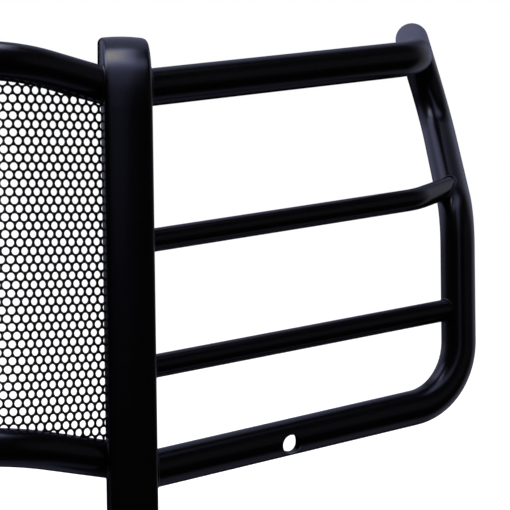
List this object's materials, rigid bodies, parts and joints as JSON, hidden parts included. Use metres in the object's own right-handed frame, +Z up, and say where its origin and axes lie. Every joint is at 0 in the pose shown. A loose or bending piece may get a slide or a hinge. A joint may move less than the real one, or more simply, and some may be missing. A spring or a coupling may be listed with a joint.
{
  "type": "front grille guard",
  "caption": "Tubular steel truck grille guard: arched centre tubes around a punched plate, rolled uprights, and bent wings that wrap back around the headlights.",
  "frame": {"origin": "the middle of the base: on the centre plane, halfway between the foremost and rearmost points, level with the undersides of the foot plates", "axes": "+X across the vehicle to the guard's right as seen from in front, +Y back towards the vehicle, +Z up"},
  "size_m": [1.9106, 0.5706, 0.8242],
  "materials": {
    "tube_coat": "semi-gloss black powder coat with a faint orange peel",
    "plate_coat": "semi-gloss black powder coat on punched sheet",
    "bracket_coat": "satin black powder coat",
    "zinc_fastener": "bright zinc plate"
  },
  "bodies": {
    "root": {"centre_bottom_tube": "tube_coat", "centre_top_tube": "tube_coat", "frame_bracket_left": "bracket_coat", "frame_bracket_right": "bracket_coat", "head_washer_left_1": "zinc_fastener", "head_washer_left_2": "zinc_fastener", "head_washer_left_3": "zinc_fastener", "head_washer_right_1": "zinc_fastener", "head_washer_right_2": "zinc_fastener", "head_washer_right_3": "zinc_fastener", "hex_bolt_left_1": "zinc_fastener", "hex_bolt_left_2": "zinc_fastener", "hex_bolt_left_3": "zinc_fastener", "hex_bolt_right_1": "zinc_fastener", "hex_bolt_right_2": "zinc_fastener", "hex_bolt_right_3": "zinc_fastener", "lock_nut_left_1": "zinc_fastener", "lock_nut_left_2": "zinc_fastener", "lock_nut_left_3": "zinc_fastener", "lock_nut_right_1": "zinc_fastener", "lock_nut_right_2": "zinc_fastener", "lock_nut_right_3": "zinc_fastener", "mount_tab_left": "tube_coat", "mount_tab_right": "tube_coat", "nut_washer_left_1": "zinc_fastener", "nut_washer_left_2": "zinc_fastener", "nut_washer_left_3": "zinc_fastener", "nut_washer_right_1": "zinc_fastener", "nut_washer_right_2": "zinc_fastener", "nut_washer_right_3": "zinc_fastener", "punched_plate": "plate_coat", "upright_foot_plate_left": "tube_coat", "upright_foot_plate_right": "tube_coat", "upright_left": "tube_coat", "upright_rear_cap_left": "tube_coat", "upright_rear_cap_right": "tube_coat", "upright_right": "tube_coat", "wing_frame_left": "tube_coat", "wing_frame_right": "tube_coat", "wing_lower_bar_left": "tube_coat", "wing_lower_bar_right": "tube_coat", "wing_upper_bar_left": "tube_coat", "wing_upper_bar_right": "tube_coat"}
  },
  "joints": []
}
